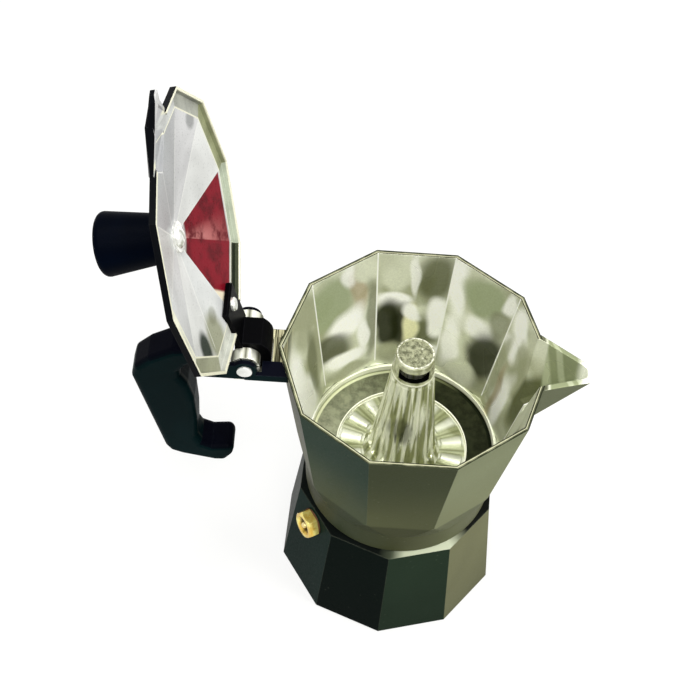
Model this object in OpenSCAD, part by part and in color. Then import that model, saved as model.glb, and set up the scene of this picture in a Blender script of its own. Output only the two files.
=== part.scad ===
// Stovetop coffee maker with ten-sided boiler and collector, shown with its lid open.
// Origin: centre of the boiler's flat base. +Z up, +X towards the spout, -X towards the handle.

/* [Boiler] */
// Corner radius of the ten-sided base
base_r = 41.6; // [40:0.1:43]
// Ledge from the neck out to the corners where the boiler's faces end
shoulder_w = 6.6; // [6:0.1:7.6]
// Height of the boiler's faces
shoulder_z = 48.9; // [47.5:0.1:49.5]
// Turn of the boiler's corners against the collector's, in degrees
boiler_turn = 14.6; // [0:0.1:36]
// Boiler wall thickness
boiler_wall = 2.6; // [2:0.1:3.2]

/* [Safety valve] */
// Height of the valve's axis where it leaves the wall
valve_z = 42; // [38:0.5:42.5]
// Corner to corner size of the brass hexagon
valve_hex = 11; // [10:0.1:12]
// Length of the brass hexagon
valve_hex_l = 3.8; // [3.6:0.1:5]
// Length of the valve pin's stem beyond the brass
valve_out = 0.3; // [0:0.1:0.6]

/* [Screw joint] */
// Radius of the boiler's neck at the root of its thread
neck_r = 29.6; // [29:0.1:29.8]
// Radial gap between the neck and the collector's skirt
neck_gap = 0.8; // [0.6:0.1:1]
// Height of the neck's sealing face
neck_z = 61; // [60.5:0.1:61.2]

/* [Collector] */
// Corner radius of the ten-sided rim
rim_r = 45; // [44:0.1:46]
// Height of the rim
rim_z = 123.9; // [122:0.1:125]
// Wall thickness at the bottom of the round skirt
skirt_wall = 3.2; // [2.8:0.1:3.6]
// Wall thickness at the rim
rim_wall = 1.5; // [1.2:0.1:1.8]
// Height of the collector's floor
floor_z = 67.5; // [67.2:0.1:68]
// Number of raised petals on the floor round the column
petals = 16; // [12:1:20]

/* [Spout] */
// Reach of the spout's tip beyond the rim's corners
spout_out = 14.5; // [11:0.5:16]
// Height of the spout's tip
spout_z = 119; // [118:0.5:120]
// Half width of the spout where it leaves the rim
spout_half = 11.4; // [11:0.1:13]

/* [Column] */
// Height of the column's closed top
column_z = 124.5; // [123:0.5:125]
// Radius of the cap on the column
cap_r = 6.5; // [6.3:0.1:6.8]
// Number of flutes round the column
flutes = 16; // [12:1:18]

/* [Lid] */
// Corner radius of the lid's edge
lid_r = 44; // [43.5:0.1:44.5]
// Height that the lid rises from its edge to the knob
lid_rise = 7.8; // [7:0.1:8.5]
// Thickness of the lid's edge
lid_edge = 2; // [1.8:0.1:2.6]
// How far the lid stands open, in degrees
lid_open = 104.7; // [0:0.1:104.7]

/* [Hinge] */
// Distance of the hinge pin's axis beyond the rim's corners
hinge_out = 10; // [9.8:0.1:10.3]
// Height of the hinge pin's axis
hinge_z = 124.7; // [124.5:0.1:125]
// Radius of the hinge pin
pin_r = 2; // [1.8:0.1:2.2]
// Half width of the lid's black tab
tab_half = 5.3; // [5:0.1:5.4]
// Outer face of each collector ear
ear_half = 9.7; // [9.4:0.1:9.8]
// Radius of each collector ear
ear_r = 4.8; // [4.6:0.1:5]

/* [Handle] */
// Reach of the grip outwards from the hinge pin
grip_reach = 38; // [37:0.5:42]
// Drop of the grip below the hinge pin
grip_drop = 66.2; // [64:0.1:68]
// Thickness of the grip
grip_w = 12; // [11:0.5:13]
// Radius of the grip's rounded edges
grip_round = 2.4; // [2:0.1:2.6]
// Outer face of each cheek beside the hinge
cheek_half = 11.5; // [11.3:0.1:12]

/* [Knob] */
// Radius of the knob against the lid
knob_low_r = 7.3; // [7:0.1:8]
// Radius of the knob's far end
knob_top_r = 9.9; // [9.5:0.1:10.5]
// Length of the knob
knob_l = 21; // [19:0.5:23]

/* [Hidden] */
$fn = 96;

sides = 10;
slice = 0.01;
flat_ratio = cos(180 / sides);

// Boiler
shoulder_r = neck_r + shoulder_w;
cavity_floor = 3.4;
shoulder_top = shoulder_z + 1.1;
neck_bore = neck_r - 2.6;
face_slope = atan((base_r - shoulder_r) * flat_ratio / shoulder_z);
valve_turn = boiler_turn + 198;
valve_face = (base_r + (shoulder_r - base_r) * valve_z / shoulder_z) * flat_ratio;

// Safety valve, measured along its own axis from the wall's face
shank_r = 4;
shank_l = 6;
washer_t = 0.6;
chamber_r = 2.7;
seat_t = 1.2;
seat_u = seat_t - shank_l;
seat_lay = 0.02;
valve_end = washer_t + valve_hex_l;
retainer_u = valve_end - 2.2;
retainer_t = 0.6;
stem_r = 1.2;
pin_end = valve_end + valve_out - stem_r;
head_r = 2.3;
head_t = 1.4;
spring_wire = 0.28;
spring_r = 1.85;
spring_turns = 5;

// Screw joint
flange_t = 0.8;
flange_r = neck_r - 0.5;
lay = 0.05;
gasket_low = neck_z + flange_t + lay;
gasket_high = gasket_low + 2.2;
plate_t = 0.5;
floor_under = gasket_high + plate_t + 2 * lay;
skirt_z = shoulder_top + 0.9;
skirt_bore = neck_r + neck_gap;
thread_end = neck_z - 0.2;
seal_bore = neck_r + 0.3;

// Funnel
basket_r = neck_bore - 0.8;
basket_t = 0.8;
basket_z = 38;
cone_z = 30;
stem_out = 5;
stem_z = 6;

// Collector
skirt_r = skirt_bore + skirt_wall;
band_z = 62;
band_r = skirt_r + 0.55;
fade_z = 73;
fade_r = band_r + 3.45;
face_low_r = skirt_r + 2.24;
wall_z = 70;
wall_out = face_low_r + (rim_r - face_low_r) * (wall_z - band_z) / (rim_z - band_z);
wall_in = wall_out - 2.23;
well_r = wall_in * flat_ratio - 0.2;
recess_r = 23;
recess_z = floor_z - 1.4;
foot_r = 13.6;
riser_r = 8;
petal_low_r = 2.9;
petal_high_r = 5.2;
petal_rise = 0.9;
petal_l = recess_r - foot_r - 2.4;

// Spout
spout_in = 33;
spout_x = rim_r + spout_out;
lip_in_x = rim_r - 3.4;
lip_out_x = spout_x - 0.3;
lip_out_z = spout_z + 0.2;

// Height of the spout's lip along X
function lip_z(x) = rim_z - (rim_z - lip_out_z) * (x - lip_in_x) / (lip_out_x - lip_in_x);

// Column
cap_h = 9.5;
ring_z = column_z - cap_h;
shaft_h = ring_z - recess_z;
shaft_r = cap_r + 0.7;
flute_low_r = foot_r - 0.9;
flute_high_r = shaft_r + 1.2;
flute_lift = 4;
bore_low = 7;
bore_high = 5;
window_top = 3.1;
window_h = 4.4;
window_high = column_z - window_top;
window_low = window_high - window_h;
window_half = 5;

// Lid, as it lies closed
lid_gap = 0.1;
lid_z = rim_z + lid_gap;
lid_in = lid_r - 1;
step_r = lid_r - 6;
step_z = lid_z + 1.6;
boss_in = 5;
boss_in_z = lid_z + lid_rise;
boss_r = 8;
boss_z = boss_in_z + 2.4;
slope_r = lid_r - 0.5;
slope_z = lid_z + lid_edge;
rivet_x = lid_r - 9.4;
rivet_r = 1.25;
rivet_head_r = 2.4;
rivet_top = slope_z + (boss_z - slope_z) * (slope_r - rivet_x + rivet_head_r) / (slope_r - boss_r) + 0.5;
beak_half = spout_half + 1.5;
beak_gap = 0.45;
beak_tip_x = spout_x - 1;
beak_mid_x = spout_x - 8.5;
beak_mid_z = lip_z(beak_mid_x - 2) + beak_gap;
beak_tip_z = lip_z(beak_tip_x - 1.4) + beak_gap;

// Hinge
hinge_x = rim_r + hinge_out;
ear_in = tab_half + 0.2;
cheek_in = ear_half + 0.2;
cheek_r = 3.9;
fork_x = -hinge_x - 12.7;
slot_x = fork_x + 1.5;
heel_x = 8.2;
web_x = heel_x + 0.15 - hinge_x;
wall_x = rim_r - 4.4;
lug_z = hinge_z - 7.5;
lug_t = 2.3;
bar_x = ear_r + 0.6 - hinge_x;
bar_z = lug_z + lug_t + 0.15;
bar_t = 2.9;
bar_gap = 0.2;
rib_half = 4;
rib_z = hinge_z - 14;
tab_gap = 0.06;
tongue_half = 6.6;
tongue_x = rivet_x - 2.8;
tongue_z = lid_z + 0.2;
peen_r = pin_r + 0.5;
peen_t = 0.6;

// Knob
screw_r = 2;
screw_head_r = 3.6;
knob_round = 1.8;
screw_hole = 13;

module ten_slab(r, z) {
    translate([0, 0, z])
        linear_extrude(slice)
            polygon([for (k = [0:sides - 1]) [r * cos(360 * k / sides), r * sin(360 * k / sides)]]);
}

module ten_taper(low_r, low_z, high_r, high_z) {
    hull() {
        ten_slab(low_r, low_z);
        ten_slab(high_r, high_z - slice);
    }
}

module ring(out_r, in_r, low, high) {
    rotate_extrude()
        polygon([[in_r, low], [out_r, low], [out_r, high], [in_r, high]]);
}

// Places what lies along +X from the origin onto the valve's axis, flush with the boiler's face
module on_valve_axis() {
    rotate([0, 0, valve_turn])
        translate([valve_face, 0, valve_z])
            rotate([0, -face_slope, 0])
                rotate([0, 90, 0])
                    children();
}

// Swings what is drawn in the closed place up to the open one
module open_lid() {
    translate([-hinge_x, 0, hinge_z])
        rotate([0, -lid_open, 0])
            translate([hinge_x, 0, -hinge_z])
                children();
}

module across_hinge(r, half) {
    translate([-hinge_x, half, hinge_z])
        rotate([90, 0, 0])
            cylinder(h = 2 * half, r = r);
}

module boiler() {
    color("#3c4a3e")
        difference() {
            union() {
                hull() {
                    rotate([0, 0, boiler_turn]) {
                        ten_slab(base_r - 0.8, 0);
                        ten_slab(base_r - 0.1, 0.8);
                        ten_slab(shoulder_r, shoulder_z - slice);
                    }
                    translate([0, 0, shoulder_top - slice])
                        cylinder(h = slice, r = neck_r + 2.5);
                }
                cylinder(h = neck_z, r = neck_r);
            }
            rotate([0, 0, boiler_turn])
                ten_taper(base_r - boiler_wall, cavity_floor, shoulder_r - boiler_wall, shoulder_z - 2);
            translate([0, 0, shoulder_z - 3])
                cylinder(h = neck_z, r = neck_bore);
            on_valve_axis()
                translate([0, 0, -10])
                    cylinder(h = 20, r = shank_r);
        }
}

module valve_washer() {
    color("#5a3a24")
        on_valve_axis()
            ring(valve_hex / 2 - 0.4, shank_r, 0, washer_t);
}

module valve_body() {
    color("#d9a93a")
        on_valve_axis()
            difference() {
                union() {
                    translate([0, 0, -shank_l])
                        cylinder(h = shank_l + washer_t, r = shank_r);
                    intersection() {
                        translate([0, 0, washer_t])
                            rotate([0, 0, 30])
                                cylinder(h = valve_hex_l, r = valve_hex / 2, $fn = 6);
                        translate([0, 0, washer_t])
                            rotate_extrude()
                                polygon([
                                    [0, 0], [valve_hex / 2, 0], [valve_hex / 2, valve_hex_l - 0.8],
                                    [valve_hex / 2 - 0.9, valve_hex_l], [0, valve_hex_l]
                                ]);
                    }
                }
                translate([0, 0, seat_u])
                    cylinder(h = 20, r = chamber_r);
                translate([0, 0, retainer_u + retainer_t])
                    cylinder(h = 10, r1 = chamber_r, r2 = chamber_r + 6);
                translate([0, 0, -10])
                    cylinder(h = 10, r = stem_r + 0.3);
            }
}

module valve_spring() {
    low = seat_u + head_t + spring_wire;
    high = retainer_u - spring_wire;
    steps = spring_turns * 18;
    color("#b9bcc0")
        on_valve_axis()
            polyhedron(
                points = [
                    for (i = [0:steps]) for (j = [0:5])
                        let (
                            turn = i * 20,
                            r = spring_r + spring_wire * cos(60 * j)
                        )
                            [
                                r * cos(turn), r * sin(turn),
                                low + (high - low) * i / steps + spring_wire * sin(60 * j)
                            ]
                ],
                faces = concat(
                    [[for (j = [0:5]) j]],
                    [[for (j = [5:-1:0]) steps * 6 + j]],
                    [
                        for (i = [0:steps - 1]) for (j = [0:5])
                            let (n = (j + 1) % 6)
                                [i * 6 + j, (i + 1) * 6 + j, (i + 1) * 6 + n, i * 6 + n]
                    ]
                )
            );
}

module valve_pin() {
    color("#c9ccd0")
        on_valve_axis()
            rotate_extrude()
                polygon([
                    [0, seat_u + seat_lay], [head_r, seat_u + seat_lay], [head_r, seat_u + head_t],
                    [stem_r, seat_u + head_t], [stem_r, pin_end],
                    for (a = [0:15:90]) [stem_r * cos(a), pin_end + stem_r * sin(a)]
                ]);
}

module valve_retainer() {
    color("#d9a93a")
        on_valve_axis()
            ring(chamber_r, stem_r + 0.05, retainer_u, retainer_u + retainer_t);
}

module funnel_basket() {
    color("#c4c8bd")
        rotate_extrude()
            polygon([
                [flange_r, neck_z], [flange_r, neck_z + flange_t],
                [basket_r - basket_t, neck_z + flange_t], [basket_r - basket_t, basket_z],
                [stem_out, cone_z], [stem_out, cone_z - basket_t],
                [stem_out + 0.4, cone_z - basket_t], [basket_r, basket_z - basket_t], [basket_r, neck_z]
            ]);
}

module funnel_stem() {
    color("#b8bcb2")
        ring(stem_out, stem_out - 0.9, stem_z, cone_z);
}

// Plate with rings of round holes
module holed_plate(r, low, t, rings, step, hole_r) {
    difference() {
        translate([0, 0, low])
            cylinder(h = t, r = r);
        for (q = [1:rings])
            for (k = [0:6 * q - 1])
                rotate([0, 0, 60 * k / q])
                    translate([step * q, 0, low - 1])
                        cylinder(h = t + 2, r = hole_r, $fn = 24);
    }
}

module funnel_sieve() {
    color("#aeb2a8")
        holed_plate(basket_r - basket_t - 0.02, basket_z, 0.6, 5, 4.1, 0.7);
}

module gasket() {
    color("#e8e6dc")
        ring(neck_r - 0.1, neck_r - 5.6, gasket_low, gasket_high);
}

module filter_plate() {
    color("#c4c8bd")
        holed_plate(neck_r - 3, gasket_high + lay, plate_t, 5, 4.2, 0.7);
}

// Plan of the spout or of the beak over it, as half widths along X
module tongue(points, low, high) {
    translate([0, 0, low])
        linear_extrude(high - low)
            polygon(concat(points, [for (k = [len(points) - 1:-1:0]) [points[k][0], -points[k][1]]]));
}

// Grown, it is the spout's outside. Lifted, it is the channel cut down into it.
module spout_shell(grow, lift) {
    root_z = rim_z - 27 - 2 * grow;
    tip_z = spout_z - 4 - grow;
    hull() {
        tongue([[spout_in, spout_half + grow - 1.6], [lip_in_x, spout_half + grow - 1.6]],
            rim_z + lift - slice, rim_z + lift);
        tongue([[spout_x - 5, 3.1 + grow], [spout_x - 2 + grow / 2, 2.3 + grow],
            [spout_x - 1.6 + grow, 1 + grow / 2]], lip_out_z + lift, lip_out_z + lift + slice);
        tongue([[spout_in, 5 + grow], [spout_in + 5 + grow, 3 + grow]], root_z, root_z + slice);
        tongue([[spout_x - 6, 1.2 + grow], [spout_x - 4, 0.8 + grow]], tip_z, tip_z + slice);
    }
}

module collector_outside() {
    translate([0, 0, skirt_z])
        cylinder(h = band_z - skirt_z, r1 = skirt_r, r2 = band_r);
    intersection() {
        ten_taper(face_low_r, band_z, rim_r, rim_z);
        rotate_extrude()
            polygon([
                [0, band_z], [band_r, band_z], [fade_r, fade_z],
                [fade_r + 10.4, fade_z + 33.2], [fade_r + 10.4, rim_z], [0, rim_z]
            ]);
    }
}

module collector_inside() {
    ten_taper(wall_in, wall_z, rim_r - rim_wall, rim_z + slice);
    translate([0, 0, floor_z])
        cylinder(h = wall_z - floor_z + 0.5, r1 = well_r - 0.6, r2 = well_r);
    translate([0, 0, recess_z])
        cylinder(h = 5, r = recess_r);
}

// Two ears on lugs, open between them for the lid's tab, and the web that stops its heel
module hinge_ears() {
    for (side = [-1, 1])
        translate([-hinge_x, side > 0 ? ear_half : -ear_in, hinge_z])
            rotate([90, 0, 0])
                cylinder(h = ear_half - ear_in, r = ear_r);
    for (side = [-1, 1])
        translate([-hinge_x - 3.6, side > 0 ? ear_in : -ear_half, lug_z]) {
            cube([7.8, ear_half - ear_in, 5]);
            cube([hinge_x + 3.6 - wall_x, ear_half - ear_in, lug_t]);
        }
    translate([web_x, -ear_half, lug_z])
        cube([-web_x - wall_x, 2 * ear_half, lug_t]);
    translate([web_x, -tab_half, lug_z])
        cube([-web_x - wall_x, 2 * tab_half, hinge_z - 3.6 - lug_z]);
    translate([web_x + 1.5, -rib_half, rib_z])
        cube([-web_x - 1.5 - wall_x, 2 * rib_half, lug_z - rib_z + 1]);
}

module collector() {
    color("#5d6454")
        difference() {
            union() {
                collector_outside();
                spout_shell(1.3, 0);
                hinge_ears();
            }
            collector_inside();
            spout_shell(0, 2);
            translate([spout_in, -spout_half - 2, rim_z])
                cube([spout_x - spout_in + 2, 2 * spout_half + 4, 10]);
            translate([0, 0, skirt_z - 1])
                cylinder(h = thread_end - skirt_z + 1, r = skirt_bore);
            translate([0, 0, thread_end - 1])
                cylinder(h = floor_under - thread_end + 1, r = seal_bore);
            translate([0, 0, floor_under - 1])
                cylinder(h = 10, r = riser_r);
            across_hinge(pin_r, 20);
        }
    color("#c6cab4")
        difference() {
            for (k = [0:petals - 1])
                rotate([0, 0, (k + 0.5) * 360 / petals])
                    translate([foot_r + 0.1, 0, recess_z + petal_rise - petal_low_r])
                        rotate([0, 90 + atan((petal_high_r - petal_low_r) / petal_l), 0])
                            cylinder(h = petal_l, r1 = petal_low_r, r2 = petal_high_r, $fn = 32);
            translate([0, 0, recess_z - 20])
                cylinder(h = 20 - 0.2, r = 60);
        }
}

module column() {
    color("#c6cab4")
        difference() {
            rotate_extrude()
                polygon([
                    [bore_low, recess_z], [foot_r, recess_z], [foot_r - 0.6, recess_z + 1],
                    [foot_r * 0.897, recess_z + 3], [foot_r * 0.838, recess_z + 7],
                    [foot_r * 0.728, recess_z + shaft_h * 0.427], [foot_r * 0.61, recess_z + shaft_h * 0.775],
                    [shaft_r + 0.3, ring_z - 2.2], [shaft_r, ring_z - 0.8], [shaft_r, ring_z],
                    [cap_r - 0.9, ring_z], [cap_r - 0.9, ring_z + 1.6],
                    [bore_high, ring_z + 1.6], [bore_high, ring_z - 10]
                ]);
            for (k = [0:flutes - 1])
                rotate([0, 0, (k + 0.5) * 360 / flutes])
                    translate([flute_low_r, 0, recess_z + flute_lift])
                        rotate([0, -atan((flute_low_r - flute_high_r) / (shaft_h - flute_lift - 1)), 0])
                            cylinder(h = shaft_h - flute_lift - 1.4, r1 = 1.9, r2 = 1.6, $fn = 24);
        }
}

module column_cap() {
    color("#b9bda6")
        difference() {
            translate([0, 0, ring_z])
                rotate_extrude()
                    polygon([
                        [0, 0], [shaft_r, 0], [shaft_r, 0.5], [shaft_r - 0.25, 0.9],
                        [cap_r, cap_h - 0.5], [cap_r - 0.3, cap_h], [cap_r - 0.8, cap_h],
                        [cap_r - 1, cap_h - 0.4], [0, cap_h - 0.4]
                    ]);
            translate([0, 0, ring_z - 1])
                cylinder(h = window_high - ring_z + 1, r = cap_r - 0.9);
            translate([-window_half, -10, window_low])
                cube([2 * window_half, 20, window_high - window_low]);
        }
}

// Side profile of the grip, from the fork round the outside to the hook and back up the inside,
// each point in parts of the grip's reach and drop from the hinge pin
grip_points = [
    [0.1316, -0.0378], [0.3947, -0.0257], [0.6316, 0.0015], [0.8421, 0.0831], [0.9684, 0.1647],
    [1, 0.2523], [0.8842, 0.5544], [0.7579, 0.8807], [0.7053, 0.929], [0.5947, 0.9592], [0.3026, 1],
    [0.2, 0.9924], [0.1316, 0.9381], [0.1211, 0.8867], [0.1737, 0.852], [0.3263, 0.8656],
    [0.4158, 0.8384], [0.4526, 0.784], [0.4474, 0.6148], [0.4632, 0.4335], [0.5158, 0.3006],
    [0.5789, 0.2281], [0.5789, 0.1767], [0.5132, 0.1224], [0.3947, 0.0921], [0.1316, 0.0831]
];

function grip_profile() = [
    for (p = grip_points) [-hinge_x - grip_reach * p[0], hinge_z - grip_drop * p[1]]
];

function inward(points, d) = [
    for (k = [0:len(points) - 1])
        let (
            n = len(points),
            a = points[(k + n - 1) % n],
            b = points[(k + 1) % n],
            t = (b - a) / norm(b - a)
        )
            points[k] + d * [-t[1], t[0]]
];

module grip_solid() {
    inner_half = grip_w / 2 - grip_round;
    minkowski() {
        translate([0, inner_half, 0])
            rotate([90, 0, 0])
                linear_extrude(2 * inner_half)
                    polygon(inward(grip_profile(), grip_round));
        sphere(r = grip_round, $fn = 20);
    }
}

module handle() {
    color("#15181c")
        difference() {
            union() {
                grip_solid();
                hull() {
                    translate([fork_x - 6.3, -grip_w / 2 + 1.5, hinge_z - 4.6])
                        cube([2, grip_w - 3, 5.4]);
                    for (side = [-1, 1])
                        translate([fork_x, side * (cheek_half - 1.5), hinge_z - 4.6])
                            cylinder(h = 7, r = 1.5, $fn = 32);
                }
                translate([fork_x, -cheek_half, hinge_z - 4.6])
                    cube([-fork_x - hinge_x, 2 * cheek_half, 7]);
                across_hinge(cheek_r, cheek_half);
                translate([-hinge_x, -cheek_half, bar_z])
                    cube([hinge_x - wall_x, cheek_half - ear_in, bar_t]);
            }
            translate([slot_x, -cheek_in, hinge_z - 20])
                cube([bar_x - slot_x, 2 * cheek_in, 40]);
            wall_room();
            across_hinge(pin_r, 20);
        }
}

// Room for the collector's wall at the end of the near cheek
module wall_room() {
    ten_taper(face_low_r + bar_gap, band_z, rim_r + bar_gap, rim_z);
    ten_taper(rim_r + bar_gap, rim_z - 1, rim_r + bar_gap, rim_z + 12);
}

module hinge_pin() {
    color("#d2d4d6") {
        across_hinge(pin_r, cheek_half + 0.1);
        for (side = [-1, 1])
            translate([-hinge_x, side > 0 ? cheek_half + peen_t : -cheek_half, hinge_z])
                rotate([90, 0, 0])
                    cylinder(h = peen_t, r = peen_r);
    }
}

// The beak over the spout, or with values above 0 its hollow: thinner by grow, lower on top, dug out below
module beak(grow, low_drop, dig) {
    hull() {
        tongue([[step_r + 1.8, beak_half - grow], [step_r + 2.2, beak_half - grow]],
            lid_z + 0.7 - dig, lid_z + 1.8 - low_drop);
        tongue([[beak_mid_x - 2, 6.6 - grow], [beak_mid_x, 5.2 - grow]],
            beak_mid_z - dig, beak_mid_z + 2.4 - low_drop);
        tongue([[30, 3.2 - grow], [28, 2.4 - grow]], lid_z + 2 - dig, lid_z + 6.6 - low_drop);
    }
}

module lid() {
    color("#1d2022")
        open_lid()
            difference() {
                union() {
                    ten_taper(lid_r, lid_z, lid_r, lid_z + lid_edge);
                    hull() {
                        ten_slab(slope_r, slope_z - slice);
                        translate([0, 0, boss_z - slice])
                            cylinder(h = slice, r = boss_r);
                    }
                    beak(0, 0, 0);
                    hull() {
                        tongue([[beak_mid_x - 2, 6.2], [beak_mid_x, 4.9]], beak_mid_z, beak_mid_z + 2);
                        tongue([[beak_tip_x - 1.4, 2.4], [beak_tip_x, 1]], beak_tip_z, beak_tip_z + 1.4);
                    }
                }
                ten_taper(lid_in + 0.2, lid_z - 1, lid_in - 0.2, step_z);
                hull() {
                    ten_slab(step_r, step_z - slice);
                    translate([0, 0, boss_in_z])
                        cylinder(h = slice, r = boss_in);
                }
                beak(1.8, 1.6, 1);
                translate([-hinge_x, -tongue_half - 0.1, lid_z - 1])
                    cube([hinge_x - step_r + 1, 2 * tongue_half + 0.2, 1 + step_z - lid_z]);
                cylinder(h = 200, r = screw_r + 0.1);
                translate([-rivet_x, 0, 0])
                    cylinder(h = 200, r = rivet_r);
            }
}

// Sweeps a side profile drawn in X and Z to both sides of the middle
module across_y(half) {
    translate([0, half, 0])
        rotate([90, 0, 0])
            linear_extrude(2 * half)
                children();
}

// Side profile of the tongue under the lid, from X = back to its tip
module tongue_side(back) {
    polygon([
        [back, tongue_z], [-tongue_x - 0.5, tongue_z], [-tongue_x, tongue_z + 0.5],
        [-tongue_x, step_z + 0.55], [-step_r + 0.8, step_z - lay], [back, step_z - lay]
    ]);
}

// Cam profile of the tab round the pin, drawn for the open lid so its heel meets the collector's web
module hinge_tab() {
    color("#101214")
        difference() {
            union() {
                intersection() {
                    across_hinge(heel_x, tab_half);
                    translate([-hinge_x - 3.6, -tab_half - 1, hinge_z - heel_x])
                        cube([heel_x + 4, 2 * tab_half + 2, heel_x + 6.6]);
                }
                translate([-hinge_x - 3.6, -tab_half, hinge_z - 6.4])
                    cube([heel_x + 3.6, 2 * tab_half, 6.4]);
                open_lid()
                    across_y(tab_half - 0.5)
                        tongue_side(3 - hinge_x);
                open_lid()
                    across_y(tongue_half)
                        tongue_side(ear_r + 1 - hinge_x);
            }
            across_hinge(pin_r + tab_gap, 20);
            open_lid()
                translate([-rivet_x, 0, 0])
                    cylinder(h = 200, r = rivet_r);
        }
}

module tab_rivet() {
    low = tongue_z;
    high = rivet_top;
    color("#c8cbc2")
        open_lid()
            translate([-rivet_x, 0, 0])
                rotate_extrude()
                    polygon([
                        [0, high + 0.9], [2, high + 0.9], [rivet_head_r, high + 0.5], [rivet_head_r, high],
                        [rivet_r, high - 0.6],
                        [rivet_r, low], [2.3, low], [2.3, low - 0.8], [1.8, low - 1.3], [0, low - 1.3]
                    ]);
}

module knob() {
    color("#121518")
        open_lid()
            translate([0, 0, boss_z])
                rotate_extrude()
                    polygon([
                        [screw_r, 0], [knob_low_r - 0.6, 0], [knob_low_r, 0.6],
                        [knob_top_r, knob_l - knob_round - 0.2],
                        for (a = [0:15:90])
                            [knob_top_r - knob_round * (1 - cos(a)), knob_l - knob_round * (1 - sin(a))],
                        [0, knob_l + 0.4], [0, screw_hole], [screw_r, screw_hole - 1]
                    ]);
}

module knob_screw() {
    color("#c8cbc2")
        open_lid()
            difference() {
                rotate_extrude()
                    polygon([
                        [0, boss_in_z - 2.2], [1.6, boss_in_z - 2.1], [2.9, boss_in_z - 1.6],
                        [screw_head_r, boss_in_z - 0.8], [screw_r, boss_in_z - 0.8], [screw_r, boss_z + 10],
                        [0, boss_z + 12]
                    ]);
                translate([-5, -0.45, boss_in_z - 4])
                    cube([10, 0.9, 2.6]);
            }
}

module knob_washer() {
    color("#b4b7ae")
        open_lid()
            ring(boss_in - 0.2, screw_r + 0.15, boss_in_z - 0.8, boss_in_z);
}

boiler();
valve_washer();
valve_body();
valve_spring();
valve_pin();
valve_retainer();
funnel_basket();
funnel_stem();
funnel_sieve();
gasket();
filter_plate();
collector();
column();
column_cap();
handle();
hinge_pin();
lid();
hinge_tab();
tab_rivet();
knob();
knob_screw();
knob_washer();
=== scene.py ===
import math

import bmesh
import bpy
from mathutils import Matrix, Vector


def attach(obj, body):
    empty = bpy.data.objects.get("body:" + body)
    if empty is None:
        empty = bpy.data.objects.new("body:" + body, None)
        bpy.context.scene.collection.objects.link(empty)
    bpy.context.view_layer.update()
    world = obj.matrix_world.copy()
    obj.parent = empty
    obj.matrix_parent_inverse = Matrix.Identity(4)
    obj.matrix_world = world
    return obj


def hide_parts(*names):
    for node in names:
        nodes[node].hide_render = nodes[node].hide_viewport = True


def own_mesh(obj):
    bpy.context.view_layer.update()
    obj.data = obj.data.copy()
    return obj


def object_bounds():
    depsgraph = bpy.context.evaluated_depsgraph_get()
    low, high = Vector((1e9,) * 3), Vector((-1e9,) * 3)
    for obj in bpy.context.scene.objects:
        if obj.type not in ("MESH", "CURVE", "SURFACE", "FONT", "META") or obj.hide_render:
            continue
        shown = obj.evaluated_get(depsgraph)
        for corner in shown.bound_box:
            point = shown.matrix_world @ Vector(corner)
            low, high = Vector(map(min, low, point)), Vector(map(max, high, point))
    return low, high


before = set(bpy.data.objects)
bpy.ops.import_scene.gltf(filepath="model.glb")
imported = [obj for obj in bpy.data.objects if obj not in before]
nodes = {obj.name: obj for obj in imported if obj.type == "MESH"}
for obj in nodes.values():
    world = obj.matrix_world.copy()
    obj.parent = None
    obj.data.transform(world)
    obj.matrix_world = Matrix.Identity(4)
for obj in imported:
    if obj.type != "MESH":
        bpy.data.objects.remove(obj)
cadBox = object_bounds()
print("frame loaded:", len(nodes), "nodes")

# Places that several pieces share
pot = {
    # metres
    "hinge": (-0.055, 0.0, 0.1247),
    "rimZ": 0.1239,
    "lidZ": 0.124,
    "shoulderZ": 0.0489,
    "bandZ": 0.062,
    # millimetres
    "floorMm": 67.5,
    "ringMm": 115.0,
    "capTopMm": 124.5,
    # degrees
    "lidOpen": 104.7,
    "faceStep": 36.0,
    "petalStep": 22.5,
}


# camera
camera = {
    "place": (-0.03209, -0.28316, 0.52238),
    "right": (0.99768, 0.04013, 0.05508),
    "down": (0.0646, -0.81421, -0.57696),
    "forward": (0.02169, 0.57918, -0.81491),
    "lens": 77.14,
    "sensor": 36.0,
}


def makeCamera():
    data = bpy.data.cameras.new("potCamera")
    data.lens = camera["lens"]
    data.sensor_width = camera["sensor"]
    data.clip_start = 0.02
    data.clip_end = 20.0
    cam = bpy.data.objects.new("potCamera", data)
    bpy.context.scene.collection.objects.link(cam)
    right = Vector(camera["right"])
    up = -Vector(camera["down"])
    back = -Vector(camera["forward"])
    turn = Matrix((right, up, back)).transposed().to_4x4()
    cam.matrix_world = Matrix.Translation(camera["place"]) @ turn
    bpy.context.scene.camera = cam


makeCamera()
bpy.context.scene.view_settings.view_transform = "Standard"
print("camera placed")


# light
studio = {
    "worldColor": (0.98, 0.98, 0.95),
    "worldLight": 0.4,
    "floorColor": (0.97, 0.97, 0.965),
    "floorBounce": (0.24, 0.25, 0.23),
    "floorGlow": 0.78,
    "floorHalf": 6.0,
    "floorGap": 0.0002,
    "lamps": [
        # name, place, size, power, color, aims at
        ("keyLamp", (0.75, -0.3, 0.85), (0.45, 0.45), 7.0, (1.0, 0.99, 0.96), (0.0, 0.0, 0.08)),
        ("topLamp", (-0.1, 0.1, 1.1), (0.5, 0.5), 8.3, (1.0, 1.0, 0.97), (0.0, 0.0, 0.1)),
        ("frontLamp", (0.0, -0.5, 0.95), (0.4, 0.3), 6.0, (1.0, 1.0, 0.97), (0.0, 0.0, 0.09)),
    ],
}


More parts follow.
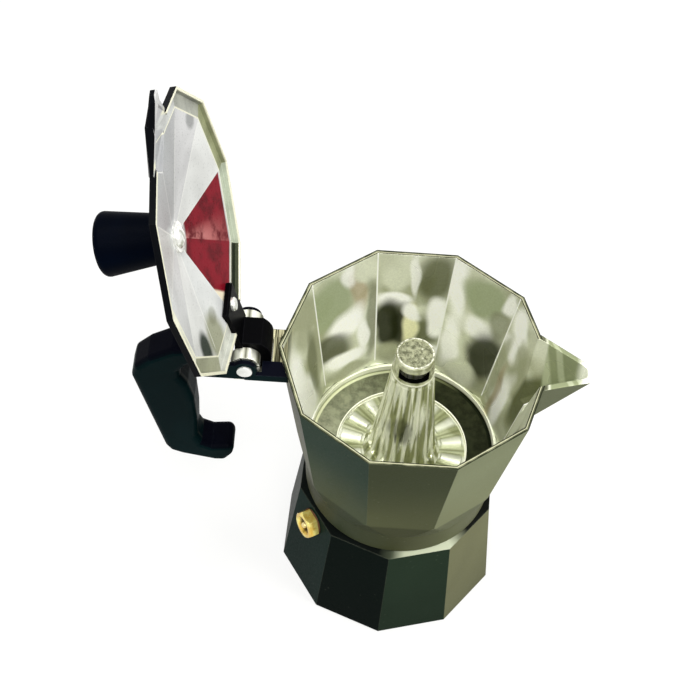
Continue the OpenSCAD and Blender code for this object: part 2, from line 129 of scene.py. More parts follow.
def makeLamps():
    for name, place, size, power, color, aim in studio["lamps"]:
        data = bpy.data.lights.new(name, "AREA")
        data.shape = "RECTANGLE"
        data.size, data.size_y = size
        data.energy = power
        data.color = color
        lamp = bpy.data.objects.new(name, data)
        look = (Vector(place) - Vector(aim)).to_track_quat("Z", "Y")
        lamp.matrix_world = Matrix.Translation(place) @ look.to_matrix().to_4x4()
        bpy.context.scene.collection.objects.link(lamp)


def seenRay(tree):
    # 1 for what the camera sees, also in gloss and through glass
    path = tree.nodes.new("ShaderNodeLightPath")
    gloss, through = path.outputs["Is Glossy Ray"], path.outputs["Is Transmission Ray"]
    indirect = maths(tree, "MAXIMUM", gloss, through)
    return maths(tree, "MAXIMUM", path.outputs["Is Camera Ray"], indirect)


def mixShaders(tree, factor, first, second, outKind):
    mix = tree.nodes.new("ShaderNodeMixShader")
    out = tree.nodes.new(outKind)
    tree.links.new(factor, mix.inputs["Fac"])
    tree.links.new(first.outputs[0], mix.inputs[1])
    tree.links.new(second.outputs[0], mix.inputs[2])
    tree.links.new(mix.outputs[0], out.inputs["Surface"])


def makeWorld():
    world = bpy.data.worlds.new("studioAir")
    bpy.context.scene.world = world
    world.use_nodes = True
    tree = world.node_tree
    tree.nodes.clear()
    light = addNode(tree, "ShaderNodeBackground", Color=rgba(studio["worldColor"]))
    light.inputs["Strength"].default_value = studio["worldLight"]
    white = addNode(tree, "ShaderNodeBackground", Color=(1.0, 1.0, 1.0, 1.0))
    mixShaders(tree, seenRay(tree), light, white, "ShaderNodeOutputWorld")


# node helpers
def newMaterial(name):
    material = bpy.data.materials.new(name)
    material.use_nodes = True
    material.node_tree.nodes.clear()
    return material, material.node_tree


def addNode(tree, kind, settings=None, **values):
    node = tree.nodes.new(kind)
    for key, value in (settings or {}).items():
        setattr(node, key, value)
    for key, value in values.items():
        socket = node.inputs[key] if not key.startswith("in") else node.inputs[int(key[2:])]
        setSocket(tree, socket, value)
    return node


def setSocket(tree, socket, value):
    if isinstance(value, bpy.types.NodeSocket):
        tree.links.new(value, socket)
    elif isinstance(value, bpy.types.Node):
        tree.links.new(value.outputs[0], socket)
    else:
        socket.default_value = value


def maths(tree, operation, a, b=0.0, c=0.0, clamp=False):
    settings = {"operation": operation, "use_clamp": clamp}
    return addNode(tree, "ShaderNodeMath", settings, in0=a, in1=b, in2=c).outputs[0]


def times(tree, a, b):
    return maths(tree, "MULTIPLY", a, b)


def vectorMaths(tree, operation, a, b=(0.0, 0.0, 0.0)):
    node = addNode(tree, "ShaderNodeVectorMath", {"operation": operation}, in0=a, in1=b)
    return node.outputs["Value" if operation in ("DOT_PRODUCT", "LENGTH") else "Vector"]


def mixColor(tree, factor, a, b, blend="MIX"):
    node = tree.nodes.new("ShaderNodeMix")
    node.data_type = "RGBA"
    node.blend_type = blend
    setSocket(tree, node.inputs["Factor"], factor)
    setSocket(tree, node.inputs[6], a)
    setSocket(tree, node.inputs[7], b)
    return node.outputs[2]


def shadeBy(tree, color, amount):
    return mixColor(tree, 1.0, color, amount, "MULTIPLY")


def mixValue(tree, factor, a, b):
    node = tree.nodes.new("ShaderNodeMix")
    node.data_type = "FLOAT"
    setSocket(tree, node.inputs["Factor"], factor)
    setSocket(tree, node.inputs[2], a)
    setSocket(tree, node.inputs[3], b)
    return node.outputs[0]


def ramp(tree, value, low, high, lowTo=0.0, highTo=1.0):
    node = addNode(tree, "ShaderNodeMapRange", {"interpolation_type": "SMOOTHSTEP"}, in0=value)
    for index, number in enumerate((low, high, lowTo, highTo)):
        node.inputs[index + 1].default_value = number
    return node.outputs[0]


def noise(tree, vector, scale, detail=3.0, roughness=0.5, distortion=0.0):
    node = addNode(tree, "ShaderNodeTexNoise", Vector=vector, Scale=scale, Detail=detail)
    node.inputs["Roughness"].default_value = roughness
    node.inputs["Distortion"].default_value = distortion
    return node.outputs["Fac"]


def rgba(color):
    return (*color, 1.0)


def tint(color):
    # Display steps from 0 to 255, as a color picker shows them, to linear light
    steps = [step / 255.0 for step in color]
    return tuple(s / 12.92 if s <= 0.04045 else ((s + 0.055) / 1.055) ** 2.4 for s in steps)


def paint(color):
    return rgba(tint(color))


def objectPlace(tree):
    return tree.nodes.new("ShaderNodeTexCoord").outputs["Object"]


def objectNormal(tree):
    return tree.nodes.new("ShaderNodeTexCoord").outputs["Normal"]


def newGroup(name, inputs, outputs):
    group = bpy.data.node_groups.new(name, "ShaderNodeTree")
    for label, kind in inputs:
        group.interface.new_socket(label, in_out="INPUT", socket_type=kind)
    for label, kind in outputs:
        group.interface.new_socket(label, in_out="OUTPUT", socket_type=kind)
    return group, group.nodes.new("NodeGroupInput"), group.nodes.new("NodeGroupOutput")


def useGroup(tree, group, **values):
    node = tree.nodes.new("ShaderNodeGroup")
    node.node_tree = group
    for key, value in values.items():
        setSocket(tree, node.inputs[key], value)
    return node


def splitPlace(tree, vector):
    return addNode(tree, "ShaderNodeSeparateXYZ", Vector=vector)


def tenSided(tree, place):
    # Distance from the axis square to the nearest of ten faces, distance from the nearest
    # corner's line, plain radius, and the place split into X, Y and Z
    split = splitPlace(tree, place)
    squares = [maths(tree, "POWER", split.outputs[axis], 2.0) for axis in "XY"]
    radius = maths(tree, "SQRT", maths(tree, "ADD", *squares))
    angle = maths(tree, "ARCTAN2", split.outputs["Y"], split.outputs["X"])
    step = math.radians(pot["faceStep"])
    fold = maths(tree, "FLOORED_MODULO", angle, step)
    fold = maths(tree, "ABSOLUTE", maths(tree, "SUBTRACT", fold, step / 2))
    across = times(tree, radius, maths(tree, "COSINE", fold))
    rest = maths(tree, "SUBTRACT", step / 2, fold)
    corner = times(tree, radius, maths(tree, "SINE", rest))
    return across, corner, radius, split


def petalTurn(tree, angle):
    # Degrees from the middle of the nearest of sixteen petals or flutes
    step = pot["petalStep"]
    fold = maths(tree, "FLOORED_MODULO", angle, step)
    return maths(tree, "ABSOLUTE", maths(tree, "SUBTRACT", fold, step / 2))


# shared effects
floatSocket = "NodeSocketFloat"
vectorSocket = "NodeSocketVector"


def makeEdgeGroup():
    # Rounded normal at sharp edges, and a mask that is 1 on them; the materials lighten their edges
    # by it, partly as wear and partly as a painted edge highlight
    group, start, end = newGroup(
        "worn edge",
        [("Radius", floatSocket), ("Amount", floatSocket), ("Speckle", floatSocket)],
        [("Mask", floatSocket), ("Normal", vectorSocket)],
    )
    bevel = addNode(group, "ShaderNodeBevel", {"samples": 6}, Radius=start.outputs["Radius"])
    flat = group.nodes.new("ShaderNodeNewGeometry").outputs["True Normal"]
    turn = vectorMaths(group, "DOT_PRODUCT", bevel.outputs[0], flat)
    sharp = ramp(group, maths(group, "SUBTRACT", 1.0, turn), 0.004, 0.08)
    speck = ramp(group, noise(group, objectPlace(group), 900.0, 2.0), 0.42, 0.62)
    speck = mixValue(group, start.outputs["Speckle"], 1.0, speck)
    mask = times(group, sharp, speck)
    mask = maths(group, "MULTIPLY", mask, start.outputs["Amount"], clamp=True)
    group.links.new(mask, end.inputs["Mask"])
    group.links.new(bevel.outputs[0], end.inputs["Normal"])
    return group


def makeGrainGroup():
    # Fine cast or moulded grain, broad soft patches and a few specks
    group, start, end = newGroup(
        "cast grain",
        [("Fine Scale", floatSocket), ("Patch Scale", floatSocket)],
        [("Grain", floatSocket), ("Patch", floatSocket), ("Specks", floatSocket)],
    )
    place = objectPlace(group)
    fine = noise(group, place, start.outputs["Fine Scale"], 4.0, 0.62)
    patch = noise(group, place, start.outputs["Patch Scale"], 2.0, 0.5, 0.4)
    dots = addNode(group, "ShaderNodeTexVoronoi", {"feature": "F1"}, Vector=place)
    dots.inputs["Scale"].default_value = 420.0
    specks = ramp(group, dots.outputs["Distance"], 0.22, 0.06)
    thin = ramp(group, noise(group, place, 160.0, 1.0), 0.56, 0.66)
    group.links.new(fine, end.inputs["Grain"])
    group.links.new(patch, end.inputs["Patch"])
    group.links.new(times(group, specks, thin), end.inputs["Specks"])
    return group


def makePatchGroup():
    # Soft oval patch at a middle point of a two-way scale
    scales = ("Across", "Along", "Middle Across", "Middle Along", "Half Across", "Half Along")
    values = [(label, floatSocket) for label in (*scales, "Amount")]
    group, start, end = newGroup("soft patch", values, [("Mask", floatSocket)])
    squares = []
    for label in ("Across", "Along"):
        away = maths(group, "SUBTRACT", start.outputs[label], start.outputs["Middle " + label])
        away = maths(group, "DIVIDE", away, start.outputs["Half " + label])
        squares.append(times(group, away, away))
    reach = maths(group, "SQRT", maths(group, "ADD", *squares))
    mask = times(group, ramp(group, reach, 1.15, 0.56), start.outputs["Amount"])
    group.links.new(mask, end.inputs["Mask"])
    return group


makeLamps()
makeWorld()
print("studio lit")

edgeGroup = makeEdgeGroup()
grainGroup = makeGrainGroup()
patchGroup = makePatchGroup()


def useGrain(tree, fine, patch):
    return useGroup(tree, grainGroup, **{"Fine Scale": fine, "Patch Scale": patch})


def bump(tree, height, strength, distance, normal=None):
    node = addNode(tree, "ShaderNodeBump", Height=height)
    node.inputs["Strength"].default_value = strength
    node.inputs["Distance"].default_value = distance
    if normal is not None:
        tree.links.new(normal, node.inputs["Normal"])
    return node.outputs["Normal"]


def roughBy(tree, grain, middle, less=0.06, more=0.08, low=0.25):
    # Roughness round its middle value, by the grain
    return ramp(tree, grain.outputs["Grain"], low, 1.0 - low, middle - less, middle + more)


def finishMaterial(tree, color, roughness, metallic, normal, specular=0.5):
    shader = tree.nodes.new("ShaderNodeBsdfPrincipled")
    setSocket(tree, shader.inputs["Base Color"], color)
    setSocket(tree, shader.inputs["Roughness"], roughness)
    setSocket(tree, shader.inputs["Metallic"], metallic)
    tree.links.new(normal, shader.inputs["Normal"])
    shader.inputs["Specular IOR Level"].default_value = specular
    out = tree.nodes.new("ShaderNodeOutputMaterial")
    tree.links.new(shader.outputs[0], out.inputs["Surface"])


def newPiece(name, mesh, material):
    data = bpy.data.meshes.new(name)
    mesh.to_mesh(data)
    mesh.free()
    data.materials.append(material)
    piece = bpy.data.objects.new(name, data)
    bpy.context.scene.collection.objects.link(piece)
    return piece


def windUp(mesh, geom, turns, steps, climb):
    # Spin a profile round Z, a little higher at each step
    bmesh.ops.spin(
        mesh,
        geom=geom,
        cent=(0.0, 0.0, 0.0),
        axis=(0.0, 0.0, 1.0),
        dvec=(0.0, 0.0, climb),
        angle=math.tau * turns,
        steps=steps,
        use_duplicate=False,
    )
    bmesh.ops.recalc_face_normals(mesh, faces=mesh.faces)


def dress(name, material):
    mesh = nodes[name].data
    mesh.materials.clear()
    mesh.materials.append(material)


def heading(tree, vector):
    # Compass angle of a vector in degrees, -180 to 180, 0 towards +X
    split = splitPlace(tree, vector)
    angle = maths(tree, "ARCTAN2", split.outputs["Y"], split.outputs["X"])
    return times(tree, angle, 180.0 / math.pi), split


def toneRing(tree, angle, litTones, smooth=True):
    # Color by compass angle, from a list of (angle, color) that is closed round the circle; every
    # list given to it is painted light and shade
    node = tree.nodes.new("ShaderNodeValToRGB")
    setSocket(tree, node.inputs["Fac"], maths(tree, "MULTIPLY_ADD", angle, 1 / 360, 0.5))
    band = node.color_ramp
    band.interpolation = "LINEAR" if smooth else "CONSTANT"
    stops = sorted(((a + 180.0) / 360.0, c) for a, c in litTones)
    band.elements[0].position, band.elements[0].color = stops[0][0], paint(stops[0][1])
    band.elements[1].position, band.elements[1].color = stops[-1][0], paint(stops[-1][1])
    for place, color in stops[1:-1]:
        band.elements.new(place).color = paint(color)
    return node.outputs["Color"]


def spots(tree, color, across, along, patches):
    # Each patch: middle across and along, half size across and along, color, amount
    for middleA, middleB, halfA, halfB, shade, amount in patches:
        patch = useGroup(tree, patchGroup, **{
            "Across": across, "Along": along, "Middle Across": middleA, "Middle Along": middleB,
            "Half Across": halfA, "Half Along": halfB, "Amount": amount,
        })
        color = mixColor(tree, patch.outputs["Mask"], color, paint(shade))
    return color


def lineAt(tree, value, center, half):
    # 1 on a thin line where value is near center
    away = maths(tree, "ABSOLUTE", maths(tree, "SUBTRACT", value, center))
    return ramp(tree, away, half, half * 0.45)


def overlay(tree, color, mask, shade, amount=1.0):
    return mixColor(tree, times(tree, mask, amount), color, paint(shade))


def between(tree, mask, finish, low="dark", high="light"):
    # From one color of a finish to another by a mask
    return mixColor(tree, mask, paint(finish[low]), paint(finish[high]))


def levelPlace(tree, place):
    # The place with its height left out
    return vectorMaths(tree, "MULTIPLY", place, (1.0, 1.0, 0.0))


def inwardMask(tree):
    # 1 where a face looks towards the pot's axis
    radial = vectorMaths(tree, "NORMALIZE", levelPlace(tree, objectPlace(tree)))
    facing = vectorMaths(tree, "DOT_PRODUCT", radial, objectNormal(tree))
    return ramp(tree, facing, 0.06, -0.06)


# boiler
boilerPaint = {
    # wall: painted light and shade, color by facing angle
    "litTones": [
        (-180, (64, 68, 64)), (-147, (18, 38, 33)), (-111, (4, 14, 10)), (-75, (34, 48, 36)),
        (-39, (112, 113, 84)), (-3, (92, 96, 74)), (33, (58, 66, 52)), (69, (40, 50, 40)),
        (105, (34, 44, 36)), (141, (42, 52, 44)), (180, (64, 68, 64)),
    ],
    # shoulder: a painted highlight strip and painted shade, color by the place's angle round the
    # axis
    "shoulder": [
        (-180, (16, 20, 18)), (-100, (8, 12, 10)), (-92, (60, 66, 52)), (-84, (168, 174, 150)),
        (-56, (186, 192, 168)), (-48, (110, 114, 94)), (-41, (16, 18, 15)), (0, (16, 18, 15)),
        (180, (16, 20, 18)),
    ],
    "edgeColor": (128, 134, 118),
    "inside": (176, 178, 164),
    "roughness": 0.42,
    "specular": 0.012,
    "grain": (1300.0, 26.0),
    "edge": {"Radius": 0.0006, "Amount": 0.5, "Speckle": 0.4},
}


def boilerMaterial():
    material, tree = newMaterial("dark olive boiler")
    angle, facing = heading(tree, objectNormal(tree))
    place = splitPlace(tree, objectPlace(tree))
    grain = useGrain(tree, *boilerPaint["grain"])
    edge = useGroup(tree, edgeGroup, **boilerPaint["edge"])
    # Painted light and shade: each face's color by its facing
    color = toneRing(tree, angle, boilerPaint["litTones"])
    # Painted highlight strip on the shoulder, by its angle round the axis
    up = ramp(tree, facing.outputs["Z"], 0.5, 0.8)
    where, _ = heading(tree, objectPlace(tree))
    color = mixColor(tree, up, color, toneRing(tree, where, boilerPaint["shoulder"]))
    # A little paler towards the shoulder, with soft patches
    rise = ramp(tree, place.outputs["Z"], 0.0, pot["shoulderZ"], 0.86, 1.1)
    cloud = ramp(tree, grain.outputs["Patch"], 0.3, 0.7, 0.92, 1.08)
    color = shadeBy(tree, color, times(tree, rise, cloud))
    color = overlay(tree, color, grain.outputs["Specks"], boilerPaint["edgeColor"], 0.1)
    # Edges lightened, partly as wear and partly as a painted edge highlight
    color = overlay(tree, color, edge.outputs["Mask"], boilerPaint["edgeColor"], 0.6)
    neck = ramp(tree, place.outputs["Z"], pot["shoulderZ"] + 0.0009, pot["shoulderZ"] + 0.0013)
    under = ramp(tree, place.outputs["Z"], 0.0006, 0.0001)
    bare = maths(tree, "MAXIMUM", maths(tree, "MAXIMUM", inwardMask(tree), neck), under)
    color = overlay(tree, color, bare, boilerPaint["inside"])
    roughness = roughBy(tree, grain, boilerPaint["roughness"], low=0.3)
    metallic = mixValue(tree, bare, 0.02, 0.9)
    normal = bump(tree, grain.outputs["Grain"], 0.14, 0.0004, edge.outputs["Normal"])
    finishMaterial(tree, color, roughness, metallic, normal, boilerPaint["specular"])
    return material


dress("boiler", boilerMaterial())
print("boiler dressed")


# collector
collectorFinish = {
    # outside paint, its painted light and shade by facing angle
    "coat": {
        "litTones": [
            (-180, (118, 118, 102)), (-162, (112, 112, 98)), (-126, (44, 66, 52)),
            (-90, (66, 72, 48)), (-54, (134, 140, 106)), (-18, (142, 144, 115)),
            (18, (120, 124, 98)), (54, (92, 96, 72)), (90, (76, 82, 60)), (126, (80, 86, 66)),
            (162, (104, 106, 88)), (180, (118, 118, 102)),
        ],
        "low": (108, 110, 76),
        "edgeColor": (168, 172, 148),
        "roughness": 0.4,
        "specular": 0.015,
        "grain": (1500.0, 30.0),
        "edge": {"Radius": 0.0005, "Amount": 0.5, "Speckle": 0.4},
    },
    # polished inside, with the tones of its painted reflections and shade
    "metal": {
        "mid": (168, 171, 142),
        "pale": (216, 219, 198),
        "bright": (255, 255, 252),
        "dark": (84, 88, 54),
        "deep": (34, 38, 18),
        "soft": (150, 154, 118),
        "brown": (160, 136, 100),
        "yellow": (240, 238, 196),
        "grey": (156, 166, 132),
        "roughness": 0.3,
    },
    # first angle of each face, then its painted reflections and shade: angle, height in mm, half
    # sizes, tone, amount
    "walls": {
        144: [
            (172, 90, 11, 24, "bright", 1.0), (164, 78, 13, 14, "bright", 1.0),
            (155, 113, 11, 12, "mid", 0.8), (151, 90, 6, 22, "dark", 0.6),
        ],
        108: [
            (136, 111, 14, 14, "grey", 0.9), (120, 110, 6, 12, "brown", 0.6),
            (124, 118, 6, 6, "bright", 0.7), (113, 118, 8, 6, "pale", 0.9),
            (112, 95, 5, 20, "dark", 0.6), (128, 98, 11, 7, "bright", 1.0),
            (136, 88.5, 12, 8.5, "deep", 0.7), (119, 89, 4, 8, "bright", 0.9),
            (129, 80.5, 15, 4.5, "bright", 1.0), (126, 73.5, 16, 3.5, "mid", 0.8),
        ],
        72: [
            (100, 112, 7, 10, "pale", 0.9), (79, 113, 12, 15, "dark", 0.85),
            (90, 114, 2.5, 13, "bright", 0.7), (101, 100, 11, 4, "bright", 1.0),
            (103.5, 91, 9, 9.5, "deep", 0.95), (95, 90, 8, 9, "deep", 0.9),
            (82, 90, 10, 8, "dark", 0.8), (90.5, 90.5, 5, 9, "yellow", 1.0),
            (91, 96.5, 6, 2.5, "bright", 0.9), (77, 95, 6, 8, "bright", 1.0),
            (82, 79.5, 13, 4.5, "bright", 1.0), (101, 78, 8, 8, "mid", 0.8),
        ],
        36: [
            (68, 112, 7, 16, "bright", 1.0), (51, 114, 13, 10, "grey", 0.9),
            (53, 100, 11, 6.5, "bright", 1.0), (43, 88.5, 15, 14, "deep", 0.9),
            (67, 87, 7, 14, "bright", 1.0), (39.5, 118, 4, 7, "bright", 0.9),
            (40, 106, 6, 7, "dark", 0.5), (55, 76, 14, 6, "pale", 0.9),
        ],
        0: [
            (27, 115, 10, 12, "bright", 1.0), (28, 103, 9, 4, "bright", 1.0),
            (19, 106, 6, 10, "mid", 0.8), (17, 84, 7, 16, "bright", 1.0),
            (24, 84, 4, 16, "brown", 0.5), (3, 100, 7, 20, "dark", 0.9),
            (31, 92, 5, 16, "mid", 0.8),
        ],
        -36: [(-12, 100, 14, 18, "pale", 0.9), (-27, 90, 9, 18, "dark", 0.5)],
        -72: [(-50, 100, 16, 20, "bright", 0.8), (-64, 90, 7, 18, "dark", 0.5)],
        -108: [(-86, 104, 14, 16, "bright", 0.7), (-100, 86, 9, 16, "dark", 0.5)],
        -144: [(-122, 96, 14, 18, "bright", 0.9), (-136, 106, 8, 16, "dark", 0.4)],
        -180: [(-166, 100, 10, 22, "bright", 0.9), (-152, 88, 7, 16, "dark", 0.5)],
    },
    # floor and its foot line: painted light and shade, color by angle round the axis
    "floor": [
        (-180, (122, 124, 104)), (-120, (84, 88, 64)), (-60, (42, 47, 28)), (0, (30, 33, 21)),
        (60, (33, 36, 22)), (85, (64, 69, 44)), (110, (92, 95, 74)), (150, (110, 113, 92)),
        (180, (122, 124, 104)),
    ],
    "foot": [
        (-180, (196, 198, 164)), (-100, (150, 154, 112)), (-50, (22, 26, 14)), (0, (14, 18, 8)),
        (48, (18, 22, 10)), (75, (110, 114, 80)), (120, (190, 194, 160)), (180, (196, 198, 164)),
    ],
    # round lines of painted highlight and painted shadow: place, half width, color, amount
    "lines": {
        "floor": [
            (0.0231, 0.00035, (244, 244, 226), 0.85),
            (0.0327, 0.0003, (240, 240, 220), 0.8),
            (0.0338, 0.0002, (60, 64, 40), 0.7),
        ],
        "rim": [
            (0.0415, 0.0002, (34, 36, 24), 0.9),
            (0.0419, 0.0002, (206, 204, 172), 0.6),
            (0.0427, 0.00035, (30, 34, 24), 0.9),
        ],
    },
    "rim": {"dark": (62, 66, 48), "light": (116, 118, 94)},
    "spout": {"base": (138, 145, 112), "pale": (204, 210, 180), "tip": (238, 240, 226)},
    # hinge ears: painted highlights and shade by the angle round the pin, and their web
    "ears": [
        (-180, (60, 60, 46)), (-120, (210, 212, 196)), (-40, (90, 92, 74)), (0, (250, 250, 236)),
        (30, (120, 120, 98)), (48, (236, 236, 220)), (70, (252, 252, 240)), (88, (84, 84, 66)),
        (104, (240, 240, 226)), (130, (180, 182, 164)), (180, (60, 60, 46)),
    ],
    "web": {"dark": (52, 50, 34), "light": (190, 186, 150)},
    # where one finish gives way to the next, in metres
    "limits": {
        "ring": (0.0229, 0.0232),
        "well": (0.0228, 0.0226),
        "spout": (0.0435, 0.0445),
        "tip": (0.0535, 0.0565),
        "underSpout": (0.039, 0.041),
        "hingeSide": (-0.0455, -0.0445),
        "ears": (-0.0455, -0.0465),
        "webStart": (-0.0475, -0.0465),
        "webEnd": (-0.04, -0.0405),
        "webTop": (0.1225, 0.1222),
        "webRadius": (0.0405, 0.0425),
    },
}


def drift(tree, place, scale):
    # Soft noise from -8 to 8, which bends the patches
    return maths(tree, "MULTIPLY_ADD", noise(tree, place, scale, 1.0), 16.0, -8.0)


def chamberReflections(tree, place, grain):
    # Painted reflections and shade: soft bright and dark patches on each face
    metal = collectorFinish["metal"]
    angle, split = heading(tree, place)
    height = times(tree, split.outputs["Z"], 1000.0)
    broad = ramp(tree, noise(tree, place, 42.0, 2.0, 0.5, 1.0), 0.35, 0.65)
    color = between(tree, broad, metal, "mid", "pale")
    bent = drift(tree, place, 48.0)
    lean = drift(tree, vectorMaths(tree, "ADD", place, (0.4, 0.3, 0.2)), 44.0)
    across = maths(tree, "ADD", angle, bent)
    along = maths(tree, "ADD", height, lean)
    for first, patches in collectorFinish["walls"].items():
        last = first + pot["faceStep"]
        begins = ramp(tree, angle, first - 0.2, first + 0.2)
        face = times(tree, begins, ramp(tree, angle, last + 0.2, last - 0.2))
        look = spots(tree, color, across, along, [(*p[:4], metal[p[4]], p[5]) for p in patches])
        color = mixColor(tree, face, color, look)
    freckle = ramp(tree, grain.outputs["Grain"], 0.3, 0.7, 0.95, 1.08)
    return shadeBy(tree, color, freckle), angle, height


def collectorMaterial():
    material, tree = newMaterial("olive collector")
    paints, shine, limits = (collectorFinish[key] for key in ("coat", "metal", "limits"))
    place = objectPlace(tree)
    grain = useGrain(tree, *paints["grain"])
    edge = useGroup(tree, edgeGroup, **paints["edge"])
    facingAngle, facing = heading(tree, objectNormal(tree))
    across, corner, radius, split = tenSided(tree, place)
    x, y, z = (split.outputs[axis] for axis in "XYZ")
    facingX, facingZ = facing.outputs["X"], facing.outputs["Z"]

    # Outside paint
    # Painted light and shade: each face's color by its facing
    coat = toneRing(tree, facingAngle, paints["litTones"])
    warm = ramp(tree, z, pot["rimZ"] - 0.01, pot["bandZ"] + 0.01, 0.0, 0.45)
    coat = overlay(tree, coat, warm, paints["low"])
    # Lighter lower down, and painted shade on the upright band below the faces
    fall = ramp(tree, z, pot["rimZ"], pot["bandZ"] + 0.008, 0.92, 1.12)
    band = ramp(tree, z, pot["bandZ"] + 0.0095, pot["bandZ"] + 0.0075, 1.0, 0.6)
    fall = times(tree, fall, band)
    cloud = ramp(tree, grain.outputs["Patch"], 0.3, 0.7, 0.94, 1.06)
    coat = shadeBy(tree, coat, times(tree, fall, cloud))
    coat = overlay(tree, coat, grain.outputs["Specks"], paints["edgeColor"], 0.1)
    # Edges lightened, partly as wear and partly as a painted edge highlight
    coat = overlay(tree, coat, edge.outputs["Mask"], paints["edgeColor"], 0.5)

    # Inside metal
    metal, angle, height = chamberReflections(tree, place, grain)
    # Painted highlight along the corners between the faces
    cornerGlint = times(tree, ramp(tree, corner, 0.0004, 0.00012), ramp(tree, height, 71.0, 72.5))
    metal = overlay(tree, metal, cornerGlint, shine["bright"], 0.95)
    low = ramp(tree, height, pot["floorMm"] + 0.9, pot["floorMm"] + 0.4)
    ringArea = times(tree, low, ramp(tree, radius, *limits["ring"]))
    # Painted light and shade on the floor ring, by angle round the axis
    ringColor = toneRing(tree, angle, collectorFinish["floor"])
    rough = ramp(tree, noise(tree, place, 300.0, 4.0, 0.65), 0.32, 0.68, 0.68, 1.4)
    ringColor = shadeBy(tree, ringColor, rough)
    metal = mixColor(tree, ringArea, metal, ringColor)
    inner = times(tree, low, ramp(tree, radius, *limits["well"]))
    turn = petalTurn(tree, angle)
    # Painted shade in the sunken well and between the petals, painted highlight on their crowns
    metal = mixColor(tree, times(tree, inner, 0.75), metal, paint(shine["soft"]), "MULTIPLY")
    valley = times(tree, ramp(tree, turn, 9.0, 11.0), inner)
    metal = overlay(tree, metal, valley, shine["dark"], 0.6)
    crown = times(tree, ramp(tree, turn, 7.0, 2.0), inner)
    metal = overlay(tree, metal, crown, shine["bright"], 0.28)
    # Painted highlight and shadow lines round the floor
    for center, half, shade, amount in collectorFinish["lines"]["floor"]:
        line = lineAt(tree, radius, center, half)
        line = times(tree, line, ramp(tree, height, pot["floorMm"] + 3.2, pot["floorMm"] + 2.8))
        metal = overlay(tree, metal, line, shade, amount)
    # Painted light and shade on the foot line, by angle round the axis
    foot = times(tree, lineAt(tree, radius, 0.0319, 0.0007), low)
    metal = mixColor(tree, foot, metal, toneRing(tree, angle, collectorFinish["foot"]))

    # Spout channel
    spout = {key: paint(color) for key, color in collectorFinish["spout"].items()}
    channel = ramp(tree, x, *limits["spout"])
    diagonal = maths(tree, "MULTIPLY_ADD", y, 0.6, x)
    near, far = lineAt(tree, diagonal, 0.0475, 0.0016), lineAt(tree, diagonal, 0.0515, 0.0011)
    sheen = times(tree, maths(tree, "MAXIMUM", near, far), 0.45)
    green = mixColor(tree, sheen, spout["base"], spout["pale"])
    green = mixColor(tree, ramp(tree, x, *limits["tip"]), green, spout["tip"])
    metal = mixColor(tree, channel, metal, green)

    # Machined rim
    rim = ramp(tree, facingZ, 0.9, 0.97)
    rim = times(tree, rim, ramp(tree, z, pot["rimZ"] - 0.0006, pot["rimZ"] - 0.0003))
    brushed = ramp(tree, noise(tree, place, 240.0, 3.0), 0.4, 0.62)
    rimColor = between(tree, brushed, collectorFinish["rim"])
    # Painted highlight and shade lines across the rim
    for center, half, shade, amount in collectorFinish["lines"]["rim"]:
        rimColor = overlay(tree, rimColor, lineAt(tree, across, center, half), shade, amount)

    up = ramp(tree, facingZ, 0.05, 0.12)
    inside = times(tree, up, ramp(tree, x, *limits["hingeSide"]))
    bare = maths(tree, "MAXIMUM", inwardMask(tree), inside)
    down = times(tree, ramp(tree, facingZ, -0.02, -0.1), ramp(tree, x, *limits["underSpout"]))
    bare = times(tree, bare, maths(tree, "SUBTRACT", 1.0, down))
    color = mixColor(tree, bare, coat, metal)
    color = mixColor(tree, rim, color, rimColor)

    # Hinge ears: turned rings with painted highlights and shade round the pin, olive web
    ears = ramp(tree, x, *limits["ears"])
    roll = times(tree, maths(tree, "ARCTAN2", facingZ, facingX), 180.0 / math.pi)
    color = mixColor(tree, ears, color, toneRing(tree, roll, collectorFinish["ears"]))
    web = times(tree, ramp(tree, x, *limits["webStart"]), ramp(tree, x, *limits["webEnd"]))
    web = times(tree, web, ramp(tree, z, *limits["webTop"]))
    webPlace = vectorMaths(tree, "MULTIPLY", place, (1.0, 0.02, 0.02))
    webLine = ramp(tree, noise(tree, webPlace, 1300.0, 1.0), 0.42, 0.56)
    webColor = between(tree, webLine, collectorFinish["web"])
    web = times(tree, web, ramp(tree, radius, *limits["webRadius"]))
    color = mixColor(tree, web, color, webColor)

    metallic = mixValue(tree, bare, 0.02, 0.4)
    metallic = mixValue(tree, ears, metallic, 0.95)
    metallic = mixValue(tree, rim, metallic, 0.3)
    middle = shine["roughness"]
    insideRough = ramp(tree, grain.outputs["Patch"], 0.3, 0.7, middle - 0.06, middle + 0.1)
    insideRough = mixValue(tree, ringArea, insideRough, 0.55)
    coatRough = roughBy(tree, grain, paints["roughness"], 0.05, 0.07, 0.3)
    roughness = mixValue(tree, bare, coatRough, insideRough)
    normal = bump(tree, grain.outputs["Grain"], 0.16, 0.0004, edge.outputs["Normal"])
    finishMaterial(tree, color, roughness, metallic, normal, paints["specular"])
    return material


dress("collector", collectorMaterial())
print("collector dressed")


# column
columnFinish = {
    "pale": (240, 242, 222),
    "mid": (150, 154, 112),
    "dark": (84, 88, 50),
    "ridge": (250, 250, 232),
    "foot": (120, 124, 84),
    "shade": (40, 44, 20),
    "roughness": 0.24,
    "metallic": 0.4,
    "specular": 0.2,
    # angle, height in mm, half sizes, amount
    "shadows": [(-100, 92, 26, 6, 0.5), (-84, 90, 22, 7, 0.6), (-92, 87, 12, 4, 0.6)],
}
capFinish = {
    "side": (216, 218, 190),
    "sideDark": (150, 152, 116),
    "top": (148, 150, 122),
    "topDark": (78, 80, 58),
    "speck": (236, 236, 216),
    "ring": (246, 246, 230),
    "window": (6, 6, 4),
    "windowMm": (115.1, 121.7),
    "metallic": 0.5,
    "specular": 0.35,
}


